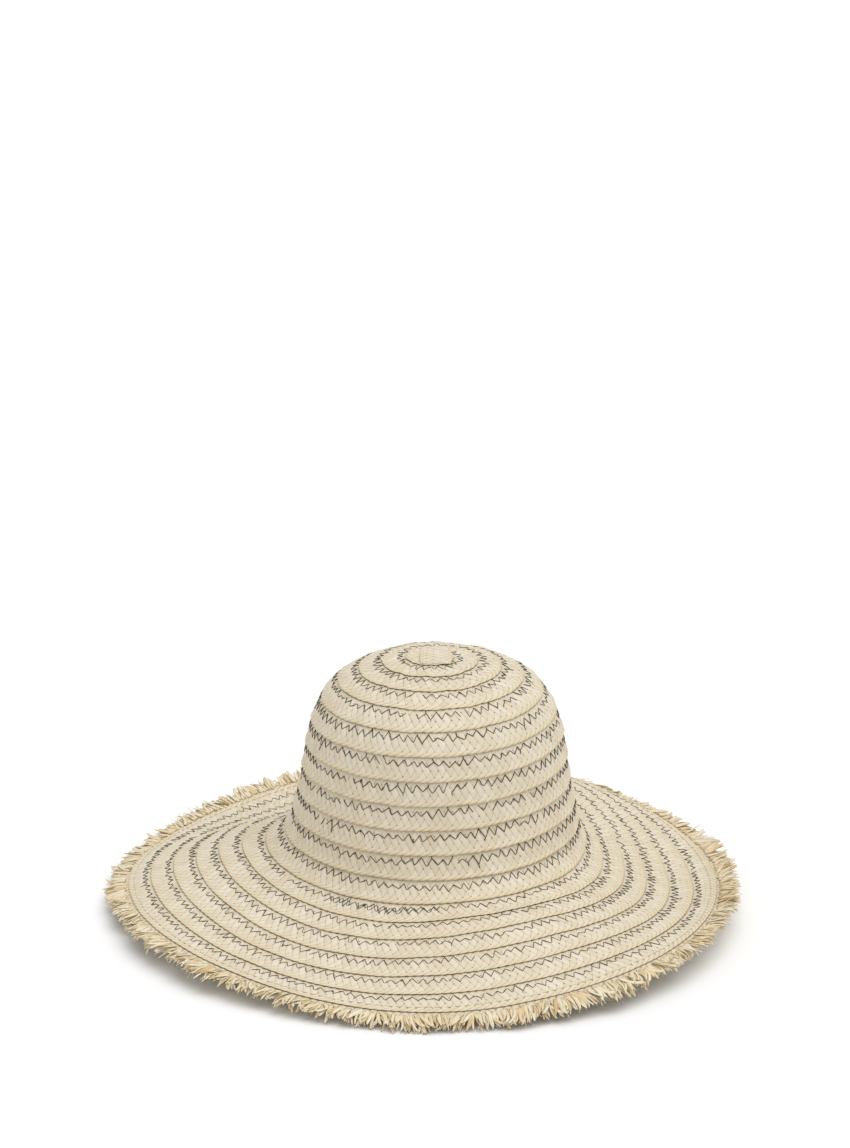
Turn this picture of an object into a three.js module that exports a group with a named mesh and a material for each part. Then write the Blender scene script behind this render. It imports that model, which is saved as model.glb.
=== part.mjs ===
// Straw sun hat: one flat straw braid, sewn turn over turn in a spiral from the tip of the crown
// to the fringed rim. Millimetres, +Z up. The rim rests on z = 0, +Z is the crown's axis, the seam
// where each turn ends is at the back, and the origin is under the middle of the hat.
import * as THREE from "three";

// ---- driving dimensions ----
const ROW_PITCH = 16.5; // what shows of one turn of braid, measured along the hat's surface
const OVERLAP = 0.24; // how far a turn runs under the turn inside it, in rows
const BRAID = 1.6; // thickness of the braid
const GAP = 0.3; // clearance between sewn pieces
const CROWN_ROWS = 11;
const BRIM_ROWS = 7;
const LAST_EDGE = CROWN_ROWS + BRIM_ROWS;

// The meridian from the tip outwards: [rows from the tip, slope below the horizontal in degrees].
// The slope changes evenly between stations, so each stretch is an arc.
const SLOPES = [
  [0, 0], [1.5, 8], [2.5, 16], [3.5, 25], [4.5, 44], [5.5, 62], [6.5, 78], [8, 82], [9.5, 76],
  [10.5, 80], [11.5, 50], [12.7, 12], [14.3, 22], [16, 16], [17.5, 10], [19.6, 4],
];
// The brim's waves steepen it by some degrees towards evenly spaced directions. The inner waves
// are full from just outside the crown, and the outer ones grow towards the rim.
const WAVES = {
  inner: [{ lobes: 1, degrees: 2, towards: 50 }, { lobes: 2, degrees: 5, towards: -22 },
    { lobes: 3, degrees: 13, towards: 3 }],
  outer: [{ lobes: 1, degrees: 5, towards: 180 }, { lobes: 2, degrees: 16, towards: 70 },
    { lobes: 3, degrees: 33, towards: 59 }],
};
const WAVES_START = 9.4; // rows from the tip
const WAVES_END = 19;
const INNER_SHARE = 0.3; // of the way from WAVES_START to WAVES_END, where the inner waves are full

const SPIRAL_START = 62; // azimuth where each turn starts, in degrees, running clockwise from above
const FIRST_EDGE = -0.462; // where the spiral starts, in rows from the tip
const TIP_HOLE = 0.06; // the hole that the first turn leaves at the tip, in rows
const TAPER = { from: 0.844, rows: 0.55 }; // the last turn narrows behind the crown

const FRINGE = { heading: 0.45, reach: 1.05, tipThickness: 2.2 }; // rows past the last edge
const PATCH = { width: 22, length: 27, thickness: 1.8, corner: 3, lift: 2.1, forward: 2 };
// A zigzag runs this many rows outside the edge it follows, and no further than a share of the
// way from that edge to the next seam, where the last turn is narrow.
const THREAD = { width: 1, height: 0.6, place: 0.34, furthest: 0.6 };
const BAND = { top: 8.95, foot: 10.62, thickness: 1, inset: 3.4 }; // sweatband, in rows and mm
const BAND_THREAD = { above: 3, width: 0.7, height: 0.4 };
const LABEL = { width: 24, height: 11, thickness: 0.5, inset: 1.9 };

const STEPS = 30; // sections in one turn
const MARCH = 1 / 16; // step along the meridian when it is added up, in rows

const MATERIALS = {
  straw: { color: 0xd9cfb8, roughness: 0.75, metalness: 0 },
  fringe: { color: 0xd8c494, roughness: 0.8, metalness: 0 },
  darkThread: { color: 0x3f3c34, roughness: 0.6, metalness: 0 },
  paleThread: { color: 0xc9bd9c, roughness: 0.7, metalness: 0 },
  ribbon: { color: 0xe4dcc8, roughness: 0.85, metalness: 0 },
  label: { color: 0xf2f0ea, roughness: 0.6, metalness: 0 },
};

// ---- the hat's surface ----
const rad = THREE.MathUtils.degToRad;
const clamp01 = (x) => THREE.MathUtils.clamp(x, 0, 1);
const smooth = (x) => THREE.MathUtils.smoothstep(x, 0, 1);

function profileSlope(u) {
  const next = SLOPES.findIndex(([at]) => at >= u);
  if (next <= 0) return SLOPES[next === 0 ? 0 : SLOPES.length - 1][1];
  const [u0, s0] = SLOPES[next - 1];
  const [u1, s1] = SLOPES[next];
  return s0 + ((s1 - s0) * (u - u0)) / (u1 - u0);
}

function wave(list, azimuth) {
  return list.reduce((sum, w) => sum + w.degrees * Math.cos(w.lobes * rad(azimuth - w.towards)), 0);
}

// Slope below the horizontal, in radians, u rows from the tip along the meridian at an azimuth.
function slope(u, azimuth) {
  const way = Math.max(0, (u - WAVES_START) / (WAVES_END - WAVES_START));
  const inner = smooth(way / INNER_SHARE) * wave(WAVES.inner, azimuth);
  const outer = clamp01((way - INNER_SHARE) / (1 - INNER_SHARE)) * wave(WAVES.outer, azimuth);
  return rad(profileSlope(u) + inner + outer);
}

// Radius and height of the surface, in mm, with the tip at height 0.
function meridian(u, azimuth) {
  const steps = Math.max(1, Math.round(u / MARCH));
  const du = u / steps;
  let r = 0;
  let z = 0;
  for (let i = 0; i < steps; i++) {
    const angle = slope((i + 0.5) * du, azimuth);
    r += Math.cos(angle) * du * ROW_PITCH;
    z -= Math.sin(angle) * du * ROW_PITCH;
  }
  return { r, z };
}

// A point u rows from the tip at an azimuth, standing off the surface by n mm.
function surfacePoint(u, azimuth, n) {
  const { r, z } = meridian(u, azimuth);
  const angle = slope(u, azimuth);
  const radius = r + Math.sin(angle) * n;
  return new THREE.Vector3(
    radius * Math.cos(rad(azimuth)), radius * Math.sin(rad(azimuth)), z + Math.cos(angle) * n,
  );
}

// ---- the spiral of the braid ----
const azimuthAt = (turn) => SPIRAL_START - 360 * turn;

// Where the outer edge of a row lies, in rows from the tip, at a share of its turn from 0 to 1.
function edge(row, turn) {
  const narrowing = row === LAST_EDGE ? TAPER.rows * smooth((turn - TAPER.from) / (1 - TAPER.from)) : 0;
  return FIRST_EDGE + row + turn - narrowing;
}

// How far the braid's middle stands off the surface. The layers slope like shingles: a turn lies
// under the turn inside it and over the one outside, and the slopes of two sewn margins agree.
function layer(u, row, turn) {
  const inside = edge(row - 1, turn);
  const outside = edge(row, turn);
  let rise = ((u - inside) * (1 - OVERLAP)) / (outside - inside - OVERLAP);
  if (u < inside) rise = u - inside;
  if (u > outside - OVERLAP) rise = 1 - outside + u;
  return (BRAID + GAP) * (rise - 0.5);
}

// The zigzag seams follow the third station of a row, and the rim's seam follows the fourth.
const SEAM_STATION = 2;
const RIM_STATION = 3;

function rowStations(row, turn) {
  const inside = edge(row - 1, turn);
  const outside = edge(row, turn);
  const floor = (i) => TIP_HOLE * (1 + 1.4 * i);
  return [
    Math.max(inside - OVERLAP, floor(0)),
    Math.max(inside, floor(1)),
    inside + Math.min(THREAD.place, (outside - inside - OVERLAP) * THREAD.furthest),
    outside - OVERLAP,
    outside,
  ];
}

// ---- solids ----
// Triangles that close a loop, taken in turn from its first and its last points.
function endFaces(count) {
  const faces = [];
  let [low, high] = [0, count - 1];
  while (high - low > 1) {
    faces.push([low, low + 1, high]);
    low += 1;
    if (high - low > 1) faces.push([low, high - 1, high]);
    high -= 1;
  }
  return faces;
}

// Joins loops of points, each going the same way round, into one closed body. A loop's first half
// is its top and its second half goes back under it, and both are split along the same diagonals,
// so that sewn pieces lie face to face.
function loft(loops, closed) {
  const count = loops[0].length;
  const positions = loops.flat().flatMap((p) => p.toArray());
  const index = [];
  const rings = closed ? loops.length : loops.length - 1;
  for (let i = 0; i < rings; i++) {
    const here = i * count;
    const there = ((i + 1) % loops.length) * count;
    for (let j = 0; j < count; j++) {
      const next = (j + 1) % count;
      const [a, b, c, d] = [here + j, there + j, there + next, here + next];
      if (j < count / 2) index.push(a, b, c, a, c, d);
      else index.push(a, b, d, b, c, d);
    }
  }
  if (!closed) {
    const last = (loops.length - 1) * count;
    for (const [a, b, c] of endFaces(count)) {
      index.push(a, b, c, last + a, last + c, last + b);
    }
  }
  const geometry = new THREE.BufferGeometry();
  geometry.setAttribute("position", new THREE.Float32BufferAttribute(positions, 3));
  geometry.setIndex(index);
  geometry.computeVertexNormals();
  return geometry;
}

// Draws a section back from the cut between two turns by half the gap.
function backFromCut(section, turn, azimuth) {
  const way = turn === 0 ? 1 : turn === 1 ? -1 : 0;
  const clockwise = new THREE.Vector3(Math.sin(rad(azimuth)), -Math.cos(rad(azimuth)), 0);
  return section.map((p) => p.clone().addScaledVector(clockwise, (way * GAP) / 2));
}

function turnSections(sectionAt) {
  const sections = [];
  for (let i = 0; i <= STEPS; i++) {
    const turn = i / STEPS;
    sections.push(backFromCut(sectionAt(turn, azimuthAt(turn)), turn, azimuthAt(turn)));
  }
  return sections;
}

// The top faces of a row at its stations, then its under faces back again.
function stripSection(stations, middle, thickness, azimuth) {
  const top = stations.map((u) => surfacePoint(u, azimuth, middle(u) + thickness(u) / 2));
  const under = stations.map((u) => surfacePoint(u, azimuth, middle(u) - thickness(u) / 2));
  return [...top, ...under.reverse()];
}

function braidRow(row) {
  return loft(turnSections((turn, azimuth) => stripSection(
    rowStations(row, turn), (u) => layer(u, row, turn), () => BRAID, azimuth,
  )), false);
}

// The fringed braid: its heading runs under the last row, and its loose straws reach past it.
function fringedBraid() {
  return loft(turnSections((turn, azimuth) => {
    const start = edge(LAST_EDGE, turn);
    const stations = [start - OVERLAP, start, start + FRINGE.heading, start + FRINGE.reach];
    const middle = (u) => (BRAID + GAP) * Math.min(u - start - 0.5, FRINGE.heading - 0.5);
    const thickness = (u) => (u > start + FRINGE.heading ? FRINGE.tipThickness : BRAID);
    return stripSection(stations, middle, thickness, azimuth);
  }), false);
}

// A thread laid along a row, over one of its stations.
function threadOver(row, station) {
  return loft(turnSections((turn, azimuth) => {
    const u = rowStations(row, turn)[station];
    const foot = layer(u, row, turn) + BRAID / 2 + GAP;
    const aside = THREAD.width / 2 / ROW_PITCH;
    return [
      surfacePoint(u - aside, azimuth, foot),
      surfacePoint(u, azimuth, foot + THREAD.height),
      surfacePoint(u + aside, azimuth, foot),
    ];
  }), false);
}

// A square patch with rounded corners, lying over the start of the spiral.
function tipPatch() {
  const { width, length, corner, thickness } = PATCH;
  const [x, y] = [width / 2 - corner, length / 2 - corner];
  const outline = new THREE.Shape();
  outline.absarc(x, y, corner, 0, Math.PI / 2);
  outline.absarc(-x, y, corner, Math.PI / 2, Math.PI);
  outline.absarc(-x, -y, corner, Math.PI, 1.5 * Math.PI);
  outline.absarc(x, -y, corner, 1.5 * Math.PI, 2 * Math.PI);
  return new THREE.ExtrudeGeometry(outline, { depth: thickness, bevelEnabled: false, curveSegments: 4 });
}

// A ring turned about the crown's axis from a closed profile of [radius, height] points.
function ring(profile) {
  const points = [...profile, profile[0]].map(([r, z]) => new THREE.Vector2(r, z));
  return new THREE.LatheGeometry(points, STEPS).rotateX(Math.PI / 2);
}

// The crown's own round meridian, without the waves that start at its foot.
function crownInside(u) {
  const azimuths = [0, 60, 120, 180, 240, 300];
  const found = azimuths.map((a) => meridian(u, a));
  return {
    r: Math.min(...found.map((p) => p.r)) - BAND.inset,
    z: found.reduce((sum, p) => sum + p.z, 0) / found.length,
  };
}

const bandTop = crownInside(BAND.top);
const bandFoot = crownInside(BAND.foot);

function sweatband() {
  return ring([
    [bandFoot.r, bandFoot.z], [bandTop.r, bandTop.z],
    [bandTop.r - BAND.thickness, bandTop.z], [bandFoot.r - BAND.thickness, bandFoot.z],
  ]);
}

// Radius of the sweatband's inner face at a height over its foot.
function bandFace(above) {
  const share = above / (bandTop.z - bandFoot.z);
  return THREE.MathUtils.lerp(bandFoot.r, bandTop.r, share) - BAND.thickness;
}

function bandThread() {
  const [low, high] = [BAND_THREAD.above, BAND_THREAD.above + BAND_THREAD.width];
  const face = Math.min(bandFace(low), bandFace(high)) - GAP;
  return ring([
    [face, bandFoot.z + low], [face, bandFoot.z + high],
    [face - BAND_THREAD.height, bandFoot.z + high], [face - BAND_THREAD.height, bandFoot.z + low],
  ]);
}

// ---- assembly ----
const group = new THREE.Group();
const hat = new THREE.Group();
group.add(hat);

function add(name, geometry, material) {
  const mesh = new THREE.Mesh(geometry, new THREE.MeshStandardMaterial(MATERIALS[material]));
  mesh.name = name;
  hat.add(mesh);
  return mesh;
}

const twoDigits = (n) => String(n).padStart(2, "0");
const isCrown = (row) => row <= CROWN_ROWS;
const rowName = (row) => (isCrown(row)
  ? `crown_braid_row_${twoDigits(row)}` : `brim_braid_row_${twoDigits(row - CROWN_ROWS)}`);
const seamName = (row) => (isCrown(row)
  ? `crown_zigzag_thread_${twoDigits(row - 1)}` : `brim_zigzag_thread_${twoDigits(row - CROWN_ROWS)}`);

const patch = add("crown_tip_patch", tipPatch(), "straw");
patch.position.set(0, -PATCH.forward, PATCH.lift);
for (let row = 1; row <= LAST_EDGE; row++) add(rowName(row), braidRow(row), "straw");
for (let row = 2; row <= LAST_EDGE; row++) add(seamName(row), threadOver(row, SEAM_STATION), "darkThread");
add("fringed_rim_braid", fringedBraid(), "fringe");
add("rim_seam_thread", threadOver(LAST_EDGE, RIM_STATION), "paleThread");
add("sweatband", sweatband(), "ribbon");
add("sweatband_thread", bandThread(), "paleThread");

const label = add(
  "blank_label", new THREE.BoxGeometry(LABEL.width, LABEL.thickness, LABEL.height), "label",
);
const labelHeight = (bandTop.z - bandFoot.z) / 2;
label.position.set(0, bandFace(labelHeight) - LABEL.inset, bandFoot.z + labelHeight);
label.rotation.x = Math.atan2(bandFoot.r - bandTop.r, bandTop.z - bandFoot.z);

// Stand the rim on z = 0, with the origin under the middle of the outline.
const outline = new THREE.Box3().setFromObject(hat, true);
const middle = outline.getCenter(new THREE.Vector3());
hat.position.set(-middle.x, -middle.y, -outline.min.z);

export default group;
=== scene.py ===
import math

import bpy
import numpy as np
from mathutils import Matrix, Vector


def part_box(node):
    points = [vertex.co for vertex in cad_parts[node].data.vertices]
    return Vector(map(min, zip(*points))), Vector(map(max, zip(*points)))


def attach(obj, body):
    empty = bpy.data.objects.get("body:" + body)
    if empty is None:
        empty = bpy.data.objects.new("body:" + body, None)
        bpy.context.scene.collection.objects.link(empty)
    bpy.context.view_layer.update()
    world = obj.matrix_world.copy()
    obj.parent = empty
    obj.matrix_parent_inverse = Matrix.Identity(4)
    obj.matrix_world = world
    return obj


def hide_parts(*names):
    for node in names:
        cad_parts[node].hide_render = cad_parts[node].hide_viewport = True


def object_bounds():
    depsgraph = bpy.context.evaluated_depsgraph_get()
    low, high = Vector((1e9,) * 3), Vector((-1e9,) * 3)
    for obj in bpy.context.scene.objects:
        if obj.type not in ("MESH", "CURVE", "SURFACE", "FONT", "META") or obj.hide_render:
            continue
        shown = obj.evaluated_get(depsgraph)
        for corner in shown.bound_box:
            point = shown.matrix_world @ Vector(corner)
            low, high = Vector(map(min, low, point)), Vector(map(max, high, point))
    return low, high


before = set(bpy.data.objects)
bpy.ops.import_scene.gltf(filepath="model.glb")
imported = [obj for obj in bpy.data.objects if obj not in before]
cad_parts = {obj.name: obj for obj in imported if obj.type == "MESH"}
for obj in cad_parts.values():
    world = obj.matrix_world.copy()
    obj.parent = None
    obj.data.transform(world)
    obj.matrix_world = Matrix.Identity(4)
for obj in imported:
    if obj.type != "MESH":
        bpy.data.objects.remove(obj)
cad_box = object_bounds()

# ---- driving sizes: metres and degrees; a row is the width that one turn of braid shows ----
ROW_PITCH = 0.0165
OVERLAP = 0.24  # rows of a turn that lie under the turn inside it
BRAID = 0.0011
GAP = 0.0001
CROWN_ROWS = 11
BRIM_ROWS = 7
LAST_EDGE = CROWN_ROWS + BRIM_ROWS

# The meridian from the tip outwards: rows from the tip, and slope below the horizontal.
SLOPES = [
    (0, 0), (1.5, 8), (2.5, 16), (3.5, 25), (4.5, 44), (5.5, 62), (6.5, 78), (8, 82), (9.5, 76),
    (10.5, 80), (11.5, 50), (12.7, 12), (14.3, 22), (16, 16), (17.5, 10), (19.6, 4),
]
# The brim's waves: lobes, degrees that they steepen the brim by, and the azimuth of a crest.
INNER_WAVES = [(1, 2, 50), (2, 5, -22), (3, 13, 3)]
OUTER_WAVES = [(1, 5, 180), (2, 16, 70), (3, 33, 59)]
WAVES_START = 9.4
WAVES_END = 19
INNER_SHARE = 0.3

SPIRAL_START = 62  # azimuth where each turn starts; turns run clockwise from above
FIRST_EDGE = -0.462
TIP_HOLE = 0.06
TAPER_FROM = 0.844
TAPER_ROWS = 0.55
PATCH_LIFT = 0.0021  # the patch's underside in the CAD, above the tip

# The plait: each straw passes over two and under two, and turns back in a rope-like edge.
STRAW_ALONG = 0.0052
STRAW_ACROSS = 0.0094
STRAW_RELIEF = 0.0005
SELVAGE = 0.0027
ROPE_LAY = 0.0034  # how steeply the straws of the edge twist round it
ROPE_BLEND = 0.0003  # half the width over which the plait turns into the edge
PLAIT_START = SELVAGE + 0.0005 + STRAW_ACROSS  # the plait's own zero line, in from the braid's edge
PLAIT_LEVEL = 0.6  # share of the relief that lies below the braid's plain face
EDGE_ROUND = 0.0008

STITCH_PITCH = 0.0069
STITCH_HEIGHT = 0.0048
STITCH_PLACE = 0.27  # rows outside the edge
THREAD_RADIUS = 0.00025

FRINGE_HEADING = 0.27
FRINGE_REACH = 1.05
STRAWS_IN_LAYER = 620

RNG = np.random.default_rng(11)

# ---- where the CAD stands ----
band_low, band_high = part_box("sweatband")
patch_low, patch_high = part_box("crown_tip_patch")
AXIS = (band_low + band_high) / 2
TIP_Z = patch_low.z - PATCH_LIFT
FLOOR_Z = cad_box[0].z


# ---- the hat's surface ----
def smooth(x):
    x = np.clip(x, 0, 1)
    return x * x * (3 - 2 * x)


def wave(waves, azimuth):
    return sum(deg * np.cos(lobes * np.radians(azimuth - crest)) for lobes, deg, crest in waves)


def slope(u, azimuth):
    """Slope below the horizontal, in radians, u rows from the tip along a meridian."""
    stations, degrees = zip(*SLOPES)
    way = np.maximum(0, (u - WAVES_START) / (WAVES_END - WAVES_START))
    inner = smooth(way / INNER_SHARE) * wave(INNER_WAVES, azimuth)
    outer = np.clip((way - INNER_SHARE) / (1 - INNER_SHARE), 0, 1) * wave(OUTER_WAVES, azimuth)
    return np.radians(np.interp(u, stations, degrees) + inner + outer)


U_STEP = 1 / 32
U_MAX = 20
AZIMUTH_STEP = 0.5


def meridian_table():
    """Radius and height of the surface for every azimuth and station, added up from the tip."""
    azimuths = np.arange(0, 360 + AZIMUTH_STEP, AZIMUTH_STEP)[:, None]
    middles = (np.arange(int(U_MAX / U_STEP)) + 0.5)[None] * U_STEP
    angles = slope(middles, azimuths)
    start = np.zeros((len(azimuths), 1))
    radius = np.hstack([start, np.cumsum(np.cos(angles), 1)]) * U_STEP * ROW_PITCH
    height = np.hstack([start, -np.cumsum(np.sin(angles), 1)]) * U_STEP * ROW_PITCH
    return radius, height


RADIUS, HEIGHT = meridian_table()


def on_meridian(u, azimuth):
    a = np.mod(azimuth, 360) / AZIMUTH_STEP
    b = np.clip(u, 0, U_MAX - U_STEP) / U_STEP
    i, j = a.astype(int), b.astype(int)
    fa, fb = a - i, b - j

    def read(table):
        near = table[i, j] * (1 - fb) + table[i, j + 1] * fb
        far = table[i + 1, j] * (1 - fb) + table[i + 1, j + 1] * fb
        return near * (1 - fa) + far * fa

    return read(RADIUS), read(HEIGHT)


# Slow unevenness of hand-sewn braid: lobes round the hat, turns along the meridian, metres.
LUMPS = [(5, 0.9, 0.00022), (8, -1.3, 0.0002), (13, 0.7, 0.00018), (21, -0.6, 0.00014),
         (34, 1.1, 0.0001)]
LUMP_PHASES = RNG.uniform(0, 2 * math.pi, len(LUMPS))
LUMPS_FULL = 2.0
LUMPS_FADE = (15.0, 3.0)


def lumps(u, azimuth):
    height = sum(
        size * np.cos(lobes * np.radians(azimuth) + turns * u + phase)
        for (lobes, turns, size), phase in zip(LUMPS, LUMP_PHASES)
    )
    fade = smooth(u / LUMPS_FULL) * (1 - smooth((u - LUMPS_FADE[0]) / LUMPS_FADE[1]))
    return height * fade


def surface_point(u, azimuth, lift):
    """Points u rows from the tip, standing off the surface by lift."""
    u, azimuth, lift = np.broadcast_arrays(u, azimuth, lift)
    r, z = on_meridian(u, azimuth)
    angle = slope(u, azimuth)
    lift = lift + lumps(u, azimuth)
    r = r + np.sin(angle) * lift
    turn = np.radians(azimuth)
    return np.stack(
        [AXIS.x + r * np.cos(turn), AXIS.y + r * np.sin(turn), TIP_Z + z + np.cos(angle) * lift], -1
    )


# ---- the spiral ----
def edge(row, turn):
    narrowing = TAPER_ROWS * smooth((turn - TAPER_FROM) / (1 - TAPER_FROM)) if row == LAST_EDGE else 0
    return FIRST_EDGE + row + turn - narrowing


def layer(u, row, turn):
    """How far the braid's middle stands off the surface: turns lie like shingles."""
    inside, outside = edge(row - 1, turn), edge(row, turn)
    rise = (u - inside) * (1 - OVERLAP) / (outside - inside - OVERLAP)
    rise = np.where(u < inside, u - inside, rise)
    rise = np.where(u > outside - OVERLAP, 1 - outside + u, rise)
    return (BRAID + GAP) * (rise - 0.5)


TURN_SAMPLES = 721


def arc_lengths():
    """Length of braid from the start of the spiral, along the middle of each row."""
    turn = np.linspace(0, 1, TURN_SAMPLES)
    done = 0.0
    lengths = {}
    for row in range(1, LAST_EDGE + 3):
        middle = np.maximum(FIRST_EDGE + row - 0.5 + turn, 2 * TIP_HOLE)
        points = surface_point(middle, SPIRAL_START - 360 * turn, 0.0)
        steps = np.linalg.norm(np.diff(points, axis=0), axis=1)
        lengths[row] = done + np.concatenate([[0], np.cumsum(steps)])
        done = lengths[row][-1]
    return lengths


ARC = arc_lengths()


def arc_at(row, turn):
    return np.interp(turn, np.linspace(0, 1, TURN_SAMPLES), ARC[row])


def turn_at(row, arc):
    return np.interp(arc, ARC[row], np.linspace(0, 1, TURN_SAMPLES))


# ---- the plait ----
def straw_random(index, family):
    value = np.sin(index * 12.9898 + family * 78.233) * 43758.5453
    return value - np.floor(value)


def plait(s, w):
    """Relief, tone and family of the straw on top, from 0 to 1, at a place on the braid."""
    a = s / STRAW_ALONG + w / STRAW_ACROSS
    b = s / STRAW_ALONG - w / STRAW_ACROSS
    i, j = np.floor(a), np.floor(b)
    fa, fb = a - i, b - j
    k = np.mod(i - j, 4)
    over = k < 2
    side = np.where(over, fa, fb)
    way = np.select([k == 0, k == 1, k == 2], [0.5 + fb / 2, fb / 2, fa / 2], 0.5 + fa / 2)
    relief = (1 - np.abs(2 * side - 1) ** 2.6) * np.sqrt(np.sin(np.pi * way))
    tone = np.where(over, straw_random(i, 0), straw_random(j, 1))
    return relief, tone, over.astype(float)


# How far the braid's edge stands up, from row to row: most on the crown's wall.
ROPE_HEIGHTS = [(1, 0.0003), (4, 0.0003), (7, 0.001), (11, 0.001), (13, 0.0003), (LAST_EDGE, 0.00025)]


def rope_height(row):
    rows, heights = zip(*ROPE_HEIGHTS)
    return np.interp(row, rows, heights)


def braid_relief(s, w, width, rope_top):
    """Height over the braid's plain face: the plait, and the edge where its straws turn back."""
    off = width - w
    height, tone, family = plait(s, PLAIT_START - off)
    rope = np.sqrt(np.clip(1 - ((off - SELVAGE / 2) / (SELVAGE / 2)) ** 2, 0, 1))
    twist = 0.45 + 0.55 * np.abs(np.sin(np.pi * (s / STRAW_ALONG + off / ROPE_LAY)))
    in_rope = smooth((SELVAGE + ROPE_BLEND - off) / (2 * ROPE_BLEND))
    relief = STRAW_RELIEF * height * (1 - in_rope) + rope_top * rope * twist * in_rope
    return relief, tone, family, in_rope


# ---- meshes ----
def new_piece(name, vertices, faces, material, attributes=None, flat_faces=()):
    """One mesh from arrays: vertices, and a list of arrays of equally long faces."""
    mesh = bpy.data.meshes.new(name)
    starts, corners, totals = [], [], []
    at = 0
    for group in faces:
        group = np.asarray(group, np.int32)
        count, size = group.shape
        starts.append(at + size * np.arange(count))
        totals.append(np.full(count, size))
        corners.append(group.ravel())
        at += count * size
    starts, totals, corners = map(np.concatenate, (starts, totals, corners))
    mesh.vertices.add(len(vertices))
    mesh.vertices.foreach_set("co", np.asarray(vertices, np.float32).ravel())
    mesh.loops.add(len(corners))
    mesh.loops.foreach_set("vertex_index", corners.astype(np.int32))
    mesh.polygons.add(len(starts))
    mesh.polygons.foreach_set("loop_start", starts.astype(np.int32))
    smooth_flags = np.ones(len(starts), bool)
    for i in flat_faces:
        smooth_flags[i] = False
    mesh.polygons.foreach_set("use_smooth", smooth_flags)
    mesh.update(calc_edges=True)
    mesh.validate()
    for key, values in (attributes or {}).items():
        kind = "FLOAT_VECTOR" if values.ndim == 2 else "FLOAT"
        layer_data = mesh.attributes.new(key, kind, "POINT")
        field = "vector" if values.ndim == 2 else "value"
        layer_data.data.foreach_set(field, np.asarray(values, np.float32).ravel())
    mesh.materials.append(material)
    piece = bpy.data.objects.new(name, mesh)
    bpy.context.scene.collection.objects.link(piece)
    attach(piece, "root")
    return piece


def grid_faces(rings, loop):
    """Quads between rings of points, each a closed loop."""
    i = np.arange(rings - 1)[:, None] * loop
    j = np.arange(loop)[None]
    k = (j + 1) % loop
    return np.stack([i + j, i + loop + j, i + loop + k, i + k], -1).reshape(-1, 4)


def lofted(rings):
    """Faces of a body lofted through rings (rings, loop, 3), with its two ends closed."""
    count, loop = rings.shape[:2]
    first = np.arange(loop)[None]
    last = (count - 1) * loop + np.arange(loop)[::-1][None]
    return [grid_faces(count, loop), first, last]


THREAD_SIDES = 6


def tubes(paths, radii):
    """Vertices and faces of many tubes: paths (n, points, 3) and radii (n, points)."""
    sides = THREAD_SIDES
    count, points = paths.shape[:2]
    along = np.gradient(paths, axis=1)
    along /= np.linalg.norm(along, axis=-1, keepdims=True) + 1e-12
    up = np.zeros_like(along)
    up[..., 2] = 1
    flat = np.abs(along[..., 2]) > 0.9
    up[flat] = (1, 0, 0)
    side = np.cross(along, up)
    side /= np.linalg.norm(side, axis=-1, keepdims=True)
    up = np.cross(side, along)
    angle = np.linspace(0, 2 * math.pi, sides, endpoint=False)
    ring = side[..., None, :] * np.cos(angle)[:, None] + up[..., None, :] * np.sin(angle)[:, None]
    vertices = paths[..., None, :] + ring * radii[..., None, None]
    quads = grid_faces(points, sides)[:, ::-1]
    ends = np.stack([np.arange(sides)[::-1], (points - 1) * sides + np.arange(sides)])[:, ::-1]
    base = (np.arange(count) * points * sides)[:, None, None]
    return vertices.reshape(-1, 3), [(base + quads).reshape(-1, 4), (base + ends).reshape(-1, sides)]


# ---- braid rows ----
STEP_ALONG = 0.00068
MOST_STEPS = 1750
HIDDEN_STEPS = 3
FACE_STEPS = 22
SELVAGE_STEPS = 9
UNDER_STEPS = 23


def across_fractions():
    """Shares of the braid's width where its upper face has points: closest at the outer edge."""
    width = (1 + OVERLAP) * ROW_PITCH
    hidden = OVERLAP * ROW_PITCH * 0.9
    rope = width - SELVAGE - 2 * ROPE_BLEND
    rounding = np.sin(np.linspace(0, math.pi / 2, SELVAGE_STEPS)) * (SELVAGE + 2 * ROPE_BLEND)
    inner = np.linspace(0, 1, HIDDEN_STEPS + 1)[:-1] * hidden
    inner[1] = EDGE_ROUND / 2
    face = np.linspace(hidden, rope, FACE_STEPS)[:-1]
    return np.concatenate([inner, face, rope + rounding]) / width


def strip(turns, stations_in, stations_out, lift_at, arcs, half_thick, rope_top):
    """A strip of braid: rings of points over its upper face and back under it, and their attributes."""
    top_share = across_fractions()
    under_share = np.linspace(1, 0, UNDER_STEPS + 2)[1:-1]
    share = np.concatenate([top_share, under_share])[None]
    upper = (np.arange(share.size) < len(top_share))[None]
    turns = turns[:, None]
    azimuth = SPIRAL_START - 360 * turns
    width = (stations_out - stations_in)[:, None] * ROW_PITCH
    u = stations_in[:, None] + (stations_out - stations_in)[:, None] * share
    w = share * width
    s = arcs[:, None] + 0 * w
    relief, tone, family, rope = braid_relief(s, w, width, rope_top)
    rounding = np.minimum(w, width - w) / EDGE_ROUND
    round_off = np.sqrt(np.clip(1 - (1 - np.clip(rounding, 0, 1)) ** 2, 0, 1))
    side = np.where(upper, 1, -1)
    lift = lift_at(u, turns) + side * round_off * (half_thick + relief - STRAW_RELIEF * PLAIT_LEVEL)
    points = surface_point(u, azimuth, lift)
    # painted shadow: the upper face darkens just outside the edge of the turn that lies over it
    shade = np.exp(-np.clip(w - OVERLAP * ROW_PITCH, 0, 1) / EDGE_SHADE) * upper
    place = np.stack([s, PLAIT_START - (width - w), family], -1)
    return points, {"place": place.reshape(-1, 3), "tone": tone.ravel(), "shade": shade.ravel(),
                    "rope": rope.ravel()}


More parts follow.
